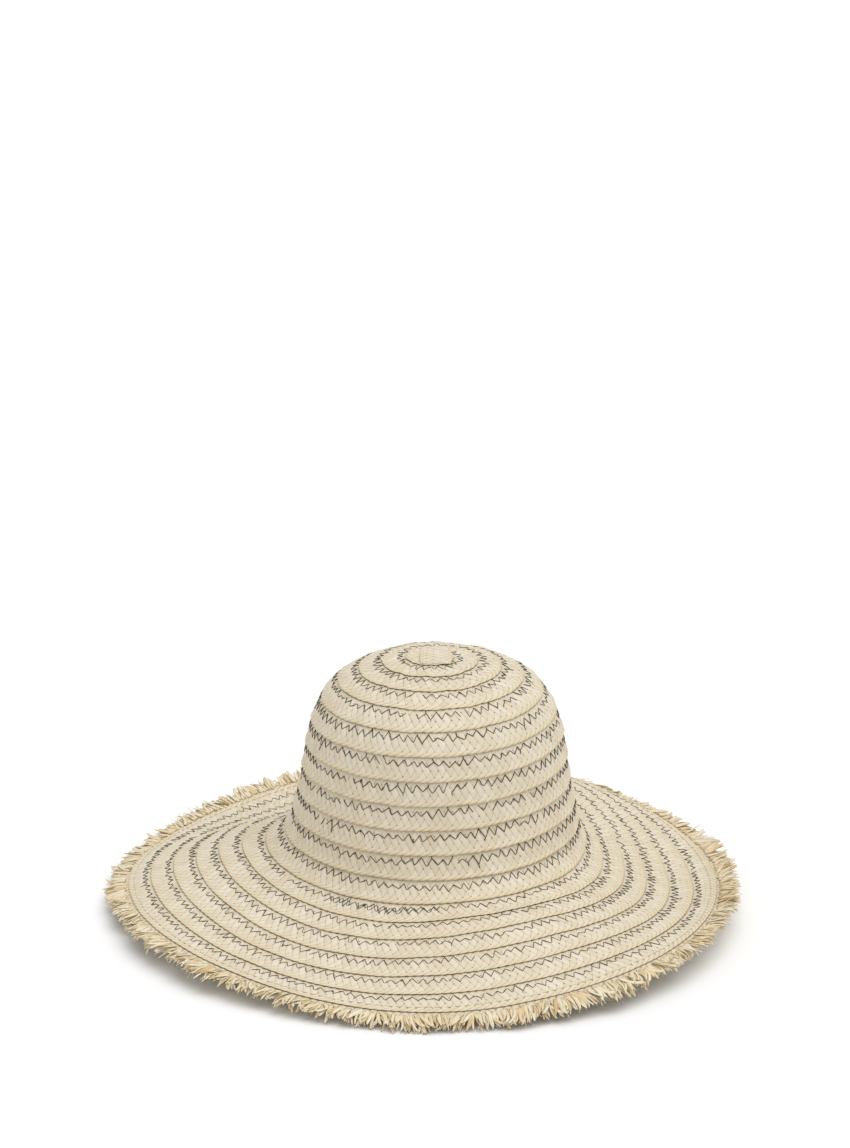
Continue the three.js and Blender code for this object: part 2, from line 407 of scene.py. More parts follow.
def row_turns(row):
    length = ARC[row][-1] - ARC[row][0]
    steps = min(MOST_STEPS, int(length / STEP_ALONG)) + 1
    return turn_at(row, np.linspace(ARC[row][0], ARC[row][-1], steps))


EDGE_WOBBLE = [(11, 0.00012), (19, 0.0001), (31, 0.00008)]
SCALLOP = 0.00022
# how far the painted shadow below each turn's edge reaches, in metres
EDGE_SHADE = 0.0006


def wobble(row, turn):
    """How far the braid's edge strays, in rows: slowly, and in a small scallop at each straw."""
    slow = sum(size * np.cos(lobes * 2 * math.pi * turn + row * lobes) for lobes, size in EDGE_WOBBLE)
    scallop = SCALLOP * np.abs(np.sin(np.pi * arc_at(row, turn) / STRAW_ALONG))
    return (slow * np.sin(np.pi * turn) + scallop) / ROW_PITCH


def braid_row(row, name, material):
    turns = row_turns(row)
    floor = TIP_HOLE
    start = np.maximum(edge(row - 1, turns) - OVERLAP, floor)
    end = np.maximum(edge(row, turns), floor + 0.3) + wobble(row, turns)
    points, attributes = strip(
        turns, start, end, lambda u, t: layer(u, row, t), arc_at(row, turns), BRAID / 2,
        rope_height(row),
    )
    faces = lofted(points)
    count = sum(len(f) for f in faces)
    piece = new_piece(
        name + "_straw", points.reshape(-1, 3), faces, material, attributes,
        (count - 2, count - 1),
    )
    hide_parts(name)


def node_name(row):
    if row <= CROWN_ROWS:
        return f"crown_braid_row_{row:02d}"
    return f"brim_braid_row_{row - CROWN_ROWS:02d}"


def fringe_lift(u, turn):
    start = edge(LAST_EDGE, turn)
    return (BRAID + GAP) * (np.minimum(u - start, FRINGE_HEADING) - 0.5)


HEADING_LOBES = (57, 91, 143, 211)
HEADING_RAGGED = 0.07  # rows by which the heading's loose edge strays


def rim_heading(material):
    """The plaited part of the fringed braid, from which its straws hang loose."""
    turns = row_turns(LAST_EDGE + 1)
    start = edge(LAST_EDGE, turns) - OVERLAP
    ragged = sum(np.sin(turns * 2 * math.pi * lobes + lobes) for lobes in HEADING_LOBES) / 4
    end = start + OVERLAP + FRINGE_HEADING + HEADING_RAGGED * ragged
    points, attributes = strip(
        turns, start, end, fringe_lift, arc_at(LAST_EDGE + 1, turns), BRAID * 0.4, 0.0,
    )
    attributes["rope"] = attributes["rope"] * 0
    # the painted shadow below the last turn's edge is fainter on the heading
    attributes["shade"] = attributes["shade"] * 0.4
    faces = lofted(points)
    count = sum(len(f) for f in faces)
    piece = new_piece(
        "fringed_rim_heading", points.reshape(-1, 3), faces, material, attributes,
        (count - 2, count - 1),
    )
    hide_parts("fringed_rim_braid")


# ---- threads ----
SEGMENT_POINTS = 7


def top_of_row(row, turn, w):
    """Stations and lift of a thread that lies on the plait, w outside the row's inner edge."""
    inside = edge(row - 1, turn)
    u = inside + w / ROW_PITCH
    outside = edge(row, turn) - inside
    relief = braid_relief(arc_at(row, turn), w, outside * ROW_PITCH, rope_height(row))[0]
    lying = np.maximum(relief - STRAW_RELIEF * PLAIT_LEVEL, STRAW_RELIEF * 0.1)
    return u, layer(u, row, turn) + BRAID / 2 + lying + THREAD_RADIUS * 0.5


# Unevenness of the sewing, in metres, and chances that a stitch is missing.
STITCH_STRAY = 0.00055
STITCH_SWAY = [(0.0004, 0.031), (0.0003, 0.013)]  # sideways, and metres of braid per radian
STITCH_SWELL = (0.15, 0.047)  # share of the height, and metres of braid per radian
HEIGHT_STRAY = 0.0013
HEIGHT_LIMITS = (0.0012, 0.0072)
THREAD_DIP = 0.0004
MISSED = 0.02
GAP_BEGINS = 0.006
GAP_GOES_ON = 0.6


def zigzag(row, rng, first=0.0, last=1.0, place=STITCH_PLACE):
    """Paths (segments, points, 3) of one zigzag seam along part of a row, with a few stitches missing."""
    arc0, arc1 = arc_at(row, np.array([first, last]))
    count = int((arc1 - arc0) / (STITCH_PITCH / 2))
    arcs = arc0 + (np.arange(count + 1) + 0.5) * (arc1 - arc0) / (count + 1)
    arcs = arcs + rng.normal(0, STITCH_STRAY, count + 1)
    sides = np.where(np.arange(count + 1) % 2 == 0, 1, -1)
    width = (edge(row, turn_at(row, arcs)) - edge(row - 1, turn_at(row, arcs))) * ROW_PITCH
    centre = np.minimum(place * ROW_PITCH, width * 0.5)
    sway = sum(size * np.sin(arcs / reach) for size, reach in STITCH_SWAY)
    swell = 1 + STITCH_SWELL[0] * np.sin(arcs / STITCH_SWELL[1])
    height = STITCH_HEIGHT * swell + rng.normal(0, HEIGHT_STRAY, count + 1)
    height = np.clip(height, *HEIGHT_LIMITS)
    w = centre + sway + sides * height / 2
    way = np.linspace(0, 1, SEGMENT_POINTS)[None]
    arc_way = way + 0.05 * np.sin(2 * np.pi * way) * rng.normal(0, 1, (count, 1))
    arc = arcs[:-1, None] + (arcs[1:] - arcs[:-1])[:, None] * arc_way
    across = w[:-1, None] + (w[1:] - w[:-1])[:, None] * way
    turn = turn_at(row, arc)
    u, lift = top_of_row(row, turn, across)
    dip = THREAD_DIP * (1 - np.sin(np.pi * way)) ** 6
    paths = surface_point(u, SPIRAL_START - 360 * turn, lift - dip)
    kept = rng.random(count) > MISSED
    gaps = rng.random(count) < GAP_BEGINS
    gaps[1:] |= gaps[:-1] & (rng.random(count - 1) < GAP_GOES_ON)
    return paths[kept & ~gaps], nibs(row, arcs, w, sides, rng)


NIB_CHANCE = 0.1
NIB_LENGTHS = (0.0012, 0.003)
NIB_SLANT = 0.0005
NIB_OUTWARD = 0.7  # share of the ends that point away from the seam
NIB_LIMIT = 0.0004


def nibs(row, arcs, w, sides, rng):
    """Short ends of thread that stand out past some stitches, across the braid."""
    chosen = rng.random(len(arcs)) < NIB_CHANCE
    arcs, w, sides = arcs[chosen, None], w[chosen, None], sides[chosen, None]
    size = rng.uniform(*NIB_LENGTHS, arcs.shape)
    way = np.linspace(0, 1, SEGMENT_POINTS)[None]
    arc = arcs + rng.normal(0, NIB_SLANT, arcs.shape) * way
    outward = sides * np.where(rng.random(arcs.shape) < NIB_OUTWARD, 1, -1)
    turn = turn_at(row, arc)
    u, lift = top_of_row(row, turn, np.maximum(w + outward * size * way, NIB_LIMIT))
    return surface_point(u, SPIRAL_START - 360 * turn, lift)


# Seams that were sewn twice: row, first and last share of its turn.
DOUBLE_SEAMS = [(13, 0.418, 0.532), (12, 0.03, 0.105)]
SECOND_SEAM = 0.06  # rows from the first seam
THREAD_UNEVEN = (0.8, 1.15)

# The thread is heaviest on the crown's wall and finest at the tip: rows and shares of its radius.
THREAD_SHARES = [(2, 0.85), (4, 0.95), (6, 1.15), (11, 1.15), (13, 0.95), (LAST_EDGE, 0.95)]


def seam_radius(row):
    rows, shares = zip(*THREAD_SHARES)
    return THREAD_RADIUS * np.interp(row, rows, shares)


def zigzag_seam(row, material):
    rng = np.random.default_rng(100 + row)
    runs = [zigzag(row, rng)]
    for double_row, first, last in DOUBLE_SEAMS:
        if double_row == row:
            runs.append(zigzag(row, rng, first, last, STITCH_PLACE + SECOND_SEAM))
    paths = np.concatenate([part for run in runs for part in run])
    radii = np.full(paths.shape[:2], seam_radius(row)) * rng.uniform(*THREAD_UNEVEN, (len(paths), 1))
    vertices, faces = tubes(paths, radii)
    is_crown = row <= CROWN_ROWS
    part = "crown" if is_crown else "brim"
    number = row - 1 if is_crown else row - CROWN_ROWS
    piece = new_piece(f"{part}_zigzag_stitches_{number:02d}", vertices, faces, material)
    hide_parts(f"{part}_zigzag_thread_{number:02d}")


RIM_STITCH = 0.0062
RIM_STRAY = 0.0002
RIM_DIP = 0.0005


def rim_stitches(material):
    """The plain seam that joins the last turn to the fringed braid: one long stitch after another."""
    rng = np.random.default_rng(71)
    arcs = np.arange(ARC[LAST_EDGE][0] + RIM_STITCH, ARC[LAST_EDGE][-1] - RIM_STITCH, RIM_STITCH)
    way = np.linspace(0.06, 0.94, SEGMENT_POINTS)[None]
    arc = arcs[:, None] + way * RIM_STITCH
    turn = turn_at(LAST_EDGE, arc)
    outer = (edge(LAST_EDGE, turn) - edge(LAST_EDGE - 1, turn)) * ROW_PITCH
    w = outer - OVERLAP * ROW_PITCH + rng.normal(0, RIM_STRAY, (len(arcs), 1))
    u, lift = top_of_row(LAST_EDGE, turn, w)
    dip = RIM_DIP * (1 - np.sin(np.pi * np.linspace(0, 1, SEGMENT_POINTS)[None])) ** 4
    paths = surface_point(u, SPIRAL_START - 360 * turn, lift - dip)
    vertices, faces = tubes(paths, np.full(paths.shape[:2], THREAD_RADIUS * 0.8))
    piece = new_piece("rim_seam_stitches", vertices, faces, material)
    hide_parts("rim_seam_thread")


# ---- fringe ----
STRAW_POINTS = 9
TUFT_WAVES = [(11, 9), (23, 12), (41, 12), (67, 10)]  # tufts round the rim, degrees that they lean
# Section of a loose straw, as shares of half its width: an arched leaf, over its top and back under.
LEAF_ACROSS = np.array([-1, -0.55, 0, 0.55, 1, 0.5, 0, -0.5])
LEAF_UP = np.array([0, 0.75, 1, 0.75, 0, 0.75, 1, 0.75])
LEAF_UNDER = np.array([0, 0, 0, 0, 0, 1, 1, 1])
LEAF_THICK = 0.00022
GRAIN_SCALE = 2500
GRAIN_OWN = 7.3  # keeps each straw's grain apart from its neighbour's
FRINGE_NAMES = ["fringe_straws_low", "fringe_straws_middle", "fringe_straws_top"]


def fringe_frames(turn, root, lift):
    """Base points and directions at the rim: outwards along the brim, round it, and up from it."""
    azimuth = SPIRAL_START - 360 * turn
    base = surface_point(root, azimuth, lift)
    out = surface_point(root + 0.1, azimuth, lift) - base
    out /= np.linalg.norm(out, axis=1, keepdims=True)
    side = np.stack([-np.sin(np.radians(azimuth)), np.cos(np.radians(azimuth)), 0 * azimuth], -1)
    return base, out, side, np.cross(out, side)


# Sizes in rows, shares of a straw's length, and radians, unless noted.
LEAN_STRAY = 9  # degrees
ROOTS = (0.1, FRINGE_HEADING - 0.02)
RAGGED_LOBES = (9, 19, 37, 61)
RAGGED = 0.16
CUT_SHORT = (1.5, 0.06)  # shape and scale of how much shorter a straw is
SHORTEST_STRAW = 0.005  # metres
LAYER_STEP = 0.0004  # metres
BEND_STRAY = 0.5
BEND_WAVE = (31, 0.3)
CURL = 0.03
CURL_STEP = 0.05
CURL_STRAY = 0.13
STRAW_ARCH = 0.06


def straw_paths(index, rng):
    """Middle lines of a layer's straws, and the directions across and up from each."""
    count = STRAWS_IN_LAYER
    turn = (np.arange(count) + rng.uniform(0, 1, count)) / count
    around = np.radians(SPIRAL_START - 360 * turn)
    start = edge(LAST_EDGE, turn)
    root = start + rng.uniform(*ROOTS, count)
    tuft = sum(size * np.cos(lobes * around + index * 1.1 * lobes) for lobes, size in TUFT_WAVES)
    ragged = sum(np.cos(lobes * around + lobes) for lobes in RAGGED_LOBES) / 4
    lean = np.radians(tuft + rng.normal(0, LEAN_STRAY, count))
    reach = (FRINGE_REACH + RAGGED * ragged - rng.gamma(*CUT_SHORT, count)) * ROW_PITCH
    length = np.maximum(reach - (root - start) * ROW_PITCH, SHORTEST_STRAW) / np.cos(lean * 0.6)
    lift = fringe_lift(root, turn) + (index - 1) * LAYER_STEP
    base, out, side, up = fringe_frames(turn, root, lift)
    way = np.linspace(0, 1, STRAW_POINTS)
    bend = rng.normal(0, BEND_STRAY, count) + BEND_WAVE[1] * np.cos(BEND_WAVE[0] * around)
    heading = lean[:, None] + bend[:, None] * (way ** 1.5 - 0.2)
    step = length[:, None] / (STRAW_POINTS - 1)
    forward = np.cumsum(np.cos(heading) * step, 1) - step
    sideways = np.cumsum(np.sin(heading) * step, 1) - np.sin(heading[:, :1]) * step
    curl = rng.normal(CURL + CURL_STEP * (index - 1), CURL_STRAY, count)
    rise = length[:, None] * (curl[:, None] * way ** 2 + STRAW_ARCH * np.sin(np.pi * way))
    path = (base[:, None] + forward[..., None] * out[:, None] + sideways[..., None] * side[:, None]
            + rise[..., None] * up[:, None])
    across = np.cos(heading)[..., None] * side[:, None] - np.sin(heading)[..., None] * out[:, None]
    return path, across, up[:, None]


ROLL_STRAY = 0.35
TWIST_STRAY = 0.6
SPLINTERS = 0.22
SPLINTER_HALF = (0.0004, 0.0007)
STRAW_HALF = (0.001, 0.0018)
TIP_SHARES = (0.15, 0.75)
ARCH_SHARES = (0.15, 0.6)
CLEAR_OF_FLOOR = 0.0002


def straw_leaves(path, across, up, rng):
    """Rings of points round each straw, and half its width: rolled, twisted, tapered and arched."""
    count = len(path)
    way = np.linspace(0, 1, STRAW_POINTS)
    roll = rng.normal(0, ROLL_STRAY, count)[:, None] + rng.normal(0, TWIST_STRAY, count)[:, None] * way
    wide = np.cos(roll)[..., None] * across + np.sin(roll)[..., None] * up
    thick = np.cos(roll)[..., None] * up - np.sin(roll)[..., None] * across
    splinter = rng.random(count) < SPLINTERS
    half = np.where(splinter, rng.uniform(*SPLINTER_HALF, count), rng.uniform(*STRAW_HALF, count))
    taper = rng.uniform(*TIP_SHARES, count)[:, None]
    half = half[:, None] * (1 - (1 - taper) * way ** 2.2)
    half[:, -1] *= 0.5
    arch = half * rng.uniform(*ARCH_SHARES, count)[:, None]
    up_by = arch[..., None] * LEAF_UP - LEAF_THICK * LEAF_UNDER
    rings = (path[:, :, None] + wide[:, :, None] * (half[..., None] * LEAF_ACROSS)[..., None]
             + thick[:, :, None] * up_by[..., None])
    rings[..., 2] = np.maximum(rings[..., 2], FLOOR_Z + CLEAR_OF_FLOOR)
    return rings, half


def fringe_layer(index, material):
    """Loose flat straws past the heading: each leans with its tuft, arches, curls and tapers."""
    rng = np.random.default_rng(500 + index)
    path, across, up = straw_paths(index, rng)
    rings, half = straw_leaves(path, across, up, rng)
    count = STRAWS_IN_LAYER
    loop = len(LEAF_ACROSS)
    quads = grid_faces(STRAW_POINTS, loop)
    ends = np.stack([np.arange(loop), (STRAW_POINTS - 1) * loop + np.arange(loop)[::-1]])
    offset = (np.arange(count) * STRAW_POINTS * loop)[:, None, None]
    faces = [(offset + quads).reshape(-1, 4), (offset + ends).reshape(-1, loop)]
    tone = np.repeat(rng.random(count), STRAW_POINTS * loop)
    along = np.tile(np.repeat(np.linspace(0, 1, STRAW_POINTS), loop), count)
    grain = (half[..., None] * LEAF_ACROSS).ravel() * GRAIN_SCALE
    own_place = np.repeat(np.arange(count) * GRAIN_OWN, STRAW_POINTS * loop)
    place = np.stack([own_place + grain, along, 0 * along], -1)
    new_piece(
        FRINGE_NAMES[index], rings.reshape(-1, 3), faces, material,
        {"tone": tone, "along": along, "place": place},
    )


# ---- sweatband and label ----
RIBS = 640
RIB_STEPS = 4
BAND_LEVELS = 16
BAND_THICKNESS = 0.0008
BAND_LEAN = 0.0035  # how much narrower the band's radius is at its top
BAND_INSET = 0.0006
BAND_MARGIN = 0.0001
BAND_WAVES = [(7, 0.0004, 1), (12, 0.0003, 2)]  # lobes, metres, phase
RIB_HEIGHT = 0.00009
BAND_STITCH = 0.0034
BAND_STRAY = 0.00015
BAND_DIP = 0.0004
BAND_THREAD_RADIUS = 0.0002
RING_FLAT = math.cos(math.pi / 30)  # a ring of 30 flats reaches this share of its radius


def band_radius(height):
    """Radius of the sweatband's outer face at a height, from the CAD band's foot and top."""
    low, high = band_low.z, band_high.z
    foot = (band_high.x - band_low.x) / 2 / RING_FLAT
    top = foot - BAND_LEAN
    return foot + (top - foot) * (height - low) / (high - low)


def sweatband(material):
    """The ribbed ribbon inside the crown's foot: a closed band with an outer and an inner face."""
    steps = RIBS * RIB_STEPS
    angle = np.linspace(0, 2 * math.pi, steps, endpoint=False)
    levels = np.linspace(band_low.z + BAND_MARGIN, band_high.z - BAND_MARGIN, BAND_LEVELS)
    rib = RIB_HEIGHT * np.cos(RIBS * angle)
    wavy = sum(size * np.cos(lobes * angle + phase) for lobes, size, phase in BAND_WAVES)
    rings = []
    for sign, heights in ((0, levels), (1, levels[::-1])):
        for z in heights:
            r = band_radius(z) - BAND_INSET + wavy - sign * BAND_THICKNESS + (1 - 2 * sign) * rib
            rings.append(np.stack([AXIS.x + r * np.cos(angle), AXIS.y + r * np.sin(angle),
                                   np.full(steps, z)], -1))
    rings = np.stack(rings, 1)
    loop = rings.shape[1]
    faces = grid_faces(steps + 1, loop) % (steps * loop)
    piece = new_piece("sweatband_ribbon_cloth", rings.reshape(-1, 3), [faces], material)
    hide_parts("sweatband")
    return piece


def band_stitches(material):
    rng = np.random.default_rng(72)
    low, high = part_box("sweatband_thread")
    z = (low.z + high.z) / 2
    radius = (high.x - low.x) / 2 / RING_FLAT - BAND_THREAD_RADIUS
    count = int(2 * math.pi * radius / BAND_STITCH)
    share = np.arange(count)[:, None] + np.linspace(0.1, 0.8, SEGMENT_POINTS)[None]
    angle = share * 2 * math.pi / count
    dip = BAND_DIP * (1 - np.sin(np.pi * np.linspace(0, 1, SEGMENT_POINTS)[None])) ** 3
    r = radius + dip
    z = z + rng.normal(0, BAND_STRAY, (count, 1))
    paths = np.stack([AXIS.x + r * np.cos(angle), AXIS.y + r * np.sin(angle), z + 0 * r], -1)
    vertices, faces = tubes(paths, np.full(paths.shape[:2], BAND_THREAD_RADIUS))
    piece = new_piece("sweatband_stitches", vertices, faces, material)
    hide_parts("sweatband_thread")


LABEL_CAD_DEPTH = 0.0007  # taken off the CAD label's box, a little more than its thickness
LABEL_LEAN = 0.9
LABEL_BACK = 0.0005
LABEL_BOW = 0.0003
LABEL_FOLD = 0.0022  # length of each folded end
LABEL_HALF = 0.00018
FOLD_HALF = 0.00026
LABEL_COLUMNS = 48
LABEL_LEVELS = 22


def blank_label(material):
    """A blank woven tape label: a thin cloth rectangle that follows the band, with folded ends."""
    low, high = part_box("blank_label")
    x = np.linspace(low.x, high.x, LABEL_COLUMNS)[:, None]
    z = np.linspace(low.z, high.z, LABEL_LEVELS)[None]
    share = (z - low.z) / (high.z - low.z)
    back = high.y - LABEL_BACK - (high.y - low.y - LABEL_CAD_DEPTH) * share * LABEL_LEAN
    curve = LABEL_BOW * np.cos((x - low.x) / (high.x - low.x) * 2 * math.pi)
    ends = np.minimum(x - low.x, high.x - x) < LABEL_FOLD
    thick = np.where(ends, FOLD_HALF, LABEL_HALF) + 0 * z
    y = back + curve
    front = np.stack([x + 0 * y, y - thick, z + 0 * y], -1)
    rear = np.stack([x + 0 * y, y + thick, z + 0 * y], -1)
    rings = np.concatenate([front, rear[:, ::-1]], 1)
    faces = [f[:, ::-1] for f in lofted(rings)]
    piece = new_piece("blank_label_cloth", rings.reshape(-1, 3), faces, material)
    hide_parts("blank_label")
    return piece


# ---- the patch at the tip ----
PATCH_COLUMNS = 44
PATCH_ROWS = 52
PATCH_CORNER = 0.07  # how far the patch's corners are drawn in
PATCH_HALF = 0.0005
PATCH_MIDDLE = 0.0008  # the patch's middle, below the CAD patch's underside
PATCH_START = 0.05  # where on the plait the patch begins
PATCH_SPAN = 96  # stations of the first meridian that the patch can reach


def tip_patch(material):
    """The folded start of the braid: a squarish piece that lies over the first turn."""
    width = patch_high.x - patch_low.x
    length = patch_high.y - patch_low.y
    columns, rows = PATCH_COLUMNS, PATCH_ROWS
    p = np.sin(np.linspace(-1, 1, columns) * math.pi / 2)[:, None]
    q = np.sin(np.linspace(-1, 1, rows) * math.pi / 2)[None]
    corner = 1 - PATCH_CORNER * (p * p * q * q)
    x = p * corner * width / 2 * (1 + 0 * q)
    y = q * corner * length / 2 * (1 + 0 * p)
    middle = (patch_low + patch_high) / 2
    off = np.hypot(x + middle.x - AXIS.x, y + middle.y - AXIS.y)
    drop = np.interp(off, RADIUS[0, :PATCH_SPAN], HEIGHT[0, :PATCH_SPAN])
    rope_top = rope_height(1)
    s = y + PATCH_START
    relief, tone, family, rope = braid_relief(s, x + width / 2, width, rope_top)
    left_rope = braid_relief(s, width / 2 - x, width, rope_top)
    relief = np.where(x < 0, np.where(left_rope[3] > 0.5, left_rope[0], relief), relief)
    rope = np.maximum(rope, left_rope[3])
    rounding = np.minimum((1 - np.abs(p)) * width / 2, (1 - np.abs(q)) * length / 2) / EDGE_ROUND
    round_off = np.sqrt(np.clip(1 - (1 - np.clip(rounding, 0, 1)) ** 2, 0, 1))
    z_middle = TIP_Z + drop + PATCH_LIFT - PATCH_MIDDLE
    top = z_middle + round_off * (PATCH_HALF + relief)
    under = z_middle - round_off * PATCH_HALF
    upper = np.stack([x + middle.x, y + middle.y, top], -1)
    lower = np.stack([x + middle.x, y + middle.y, under], -1)
    vertices = np.concatenate([upper.reshape(-1, 3), lower.reshape(-1, 3)])
    i = (np.arange(columns - 1)[:, None] * rows + np.arange(rows - 1)[None]).ravel()
    sheet = np.stack([i, i + rows, i + rows + 1, i + 1], -1)
    size = columns * rows
    border = np.concatenate([
        np.arange(rows), np.arange(1, columns) * rows + rows - 1,
        (columns - 1) * rows + np.arange(rows - 2, -1, -1), np.arange(columns - 2, 0, -1) * rows,
    ])
    after = np.roll(border, -1)
    rim = np.stack([border, after, after + size, border + size], -1)
    across = PLAIT_START - (width / 2 - x)
    attributes = {
        "place": np.tile(np.stack([s, across, family], -1).reshape(-1, 3), (2, 1)),
        "tone": np.tile(tone.ravel(), 2),
        "shade": np.zeros(2 * size),
        "rope": np.tile(rope.ravel(), 2),
    }
    piece = new_piece("crown_tip_folded_braid", vertices, [sheet, sheet[:, ::-1] + size, rim],
                      material, attributes)
    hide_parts("crown_tip_patch")


# ---- materials ----
def new_material(name, roughness, sheen=0.0):
    material = bpy.data.materials.new(name)
    material.use_nodes = True
    nodes = material.node_tree.nodes
    shader = nodes["Principled BSDF"]
    shader.inputs["Roughness"].default_value = roughness
    shader.inputs["Specular IOR Level"].default_value = 0.25
    shader.inputs["Sheen Weight"].default_value = sheen
    return material, nodes, material.node_tree.links, shader


def node(nodes, kind, **settings):
    made = nodes.new(kind)
    for key, value in settings.items():
        setattr(made, key, value)
    return made


def attribute(nodes, name):
    return node(nodes, "ShaderNodeAttribute", attribute_name=name)


def math_node(nodes, links, operation, first, second=None, third=None):
    made = node(nodes, "ShaderNodeMath", operation=operation)
    for socket, value in zip(made.inputs, (first, second, third)):
        if value is None:
            continue
        if isinstance(value, (int, float)):
            socket.default_value = value
        else:
            links.new(value, socket)
    return made.outputs[0]


def mix_colour(nodes, links, factor, first, second):
    made = node(nodes, "ShaderNodeMix", data_type="RGBA")
    for socket, value in ((made.inputs["Factor"], factor), (made.inputs[6], first),
                          (made.inputs[7], second)):
        if isinstance(value, tuple):
            socket.default_value = (*value, 1)
        elif isinstance(value, (int, float)):
            socket.default_value = value
        else:
            links.new(value, socket)
    return made.outputs[2]


def noise(nodes, links, vector, scale, detail):
    made = node(nodes, "ShaderNodeTexNoise")
    made.inputs["Scale"].default_value = scale
    made.inputs["Detail"].default_value = detail
    links.new(vector, made.inputs["Vector"])
    return made.outputs["Fac"]


def position(nodes):
    return node(nodes, "ShaderNodeNewGeometry").outputs["Position"]


def bump(nodes, links, shader, height, distance):
    made = node(nodes, "ShaderNodeBump")
    made.inputs["Distance"].default_value = distance
    made.inputs["Strength"].default_value = 1.0
    links.new(height, made.inputs["Height"])
    links.new(made.outputs["Normal"], shader.inputs["Normal"])


CREAM = (0.73, 0.645, 0.495)
PALE = (0.81, 0.745, 0.61)
WARM = (0.65, 0.52, 0.33)
# TAN is the colour of the straw's painted shade
TAN = (0.25, 0.17, 0.075)
GOLD = (0.76, 0.63, 0.38)
FRINGE_GOLDEN = (0.68, 0.49, 0.24)
FRINGE_CREAM = (0.84, 0.71, 0.46)
FRINGE_PALE = (0.89, 0.82, 0.66)
# colour of the painted shade at the fringe's roots
FRINGE_ROOT = (0.74, 0.56, 0.30)
DARK_THREAD = [(0.034, 0.025, 0.013), (0.085, 0.065, 0.037)]
PALE_THREAD = [(0.60, 0.48, 0.30), (0.72, 0.60, 0.42)]
RIBBON = [(0.66, 0.58, 0.44), (0.74, 0.67, 0.54)]
LABEL = [(0.76, 0.74, 0.69), (0.86, 0.85, 0.81)]
FLOOR = [(0.96, 0.96, 0.96), (0.975, 0.975, 0.975)]
HOLE_RADIUS = 0.00034
HOLE_SOFT = 0.0003


def calculator(nodes, links):
    """math_node for one material, without its nodes and links written out each time."""
    def calc(operation, first, second=None, third=None):
        return math_node(nodes, links, operation, first, second, third)

    return calc


def off_whole(calc, value):
    """How far a value is from the nearest whole number."""
    return calc("PINGPONG", value, 0.5)


def fibre_noise(nodes, links, calc, fine, coarse, family):
    """Noise drawn out along each straw, another one for each of the plait's two families."""
    stretched = node(nodes, "ShaderNodeCombineXYZ")
    links.new(calc("MULTIPLY", fine, 9.0), stretched.inputs[0])
    links.new(calc("MULTIPLY", coarse, 0.9), stretched.inputs[1])
    links.new(calc("MULTIPLY", family, 31.0), stretched.inputs[2])
    return noise(nodes, links, stretched.outputs[0], 1.0, 3.0)


def line_between(calc, fine, in_plait):
    """A thin dark line of painted shade where one straw ends and the next begins."""
    line = calc("SUBTRACT", 1.0, calc("MULTIPLY", off_whole(calc, fine), 14.0))
    return calc("MULTIPLY", calc("SMOOTH_MAX", line, 0.0, 0.2), in_plait)


def pinholes(nodes, links, calc, a, b, in_plait):
    """Small holes where the straws cross, painted dark with the shade inside them, open in some places
    and closed in others.
    """
    off_a = calc("SUBTRACT", calc("FRACT", calc("ADD", a, 0.5)), 0.5)
    off_b = calc("SUBTRACT", calc("FRACT", calc("ADD", b, 0.5)), 0.5)
    hole_s = calc("MULTIPLY", calc("ADD", off_a, off_b), STRAW_ALONG / 2)
    hole_w = calc("MULTIPLY", calc("SUBTRACT", off_a, off_b), STRAW_ACROSS / 2)
    off = calc("SQRT", calc("ADD", calc("MULTIPLY", hole_s, hole_s), calc("MULTIPLY", hole_w, hole_w)))
    inside = calc("DIVIDE", calc("SUBTRACT", HOLE_RADIUS + HOLE_SOFT, off), HOLE_SOFT)
    patchy = noise(nodes, links, position(nodes), 140.0, 1.0)
    hole = calc("MULTIPLY", calc("MINIMUM", calc("MAXIMUM", inside, 0.0), 1.0), in_plait)
    return calc("MULTIPLY", hole, calc("MULTIPLY", calc("SUBTRACT", patchy, 0.25), 1.7))


def rope_strands(calc, along, place_across, in_rope):
    """Dark lines of painted shade between the straws that twist round the braid's edge."""
    lay = calc("DIVIDE", calc("SUBTRACT", PLAIT_START, place_across), ROPE_LAY)
    strand = calc("MULTIPLY", off_whole(calc, calc("ADD", along, lay)), 5.0)
    strand = calc("MAXIMUM", calc("SUBTRACT", 1.0, strand), 0.0)
    return calc("MULTIPLY", strand, in_rope)


def straw_colour(nodes, links, calc, fibre, in_rope):
    """The straw's own colour: cream to pale from straw to straw, warmer in patches and at the edge."""
    cloud = noise(nodes, links, position(nodes), 22.0, 3.0)
    warmth = calc("MULTIPLY", calc("SUBTRACT", cloud, 0.35), 0.5)
    colour = mix_colour(nodes, links, attribute(nodes, "tone").outputs["Fac"], CREAM, PALE)
    colour = mix_colour(nodes, links, warmth, colour, WARM)
    colour = mix_colour(nodes, links, calc("MULTIPLY", fibre, 0.18), colour, WARM)
    return mix_colour(nodes, links, calc("MULTIPLY", in_rope, 0.42), colour, GOLD)


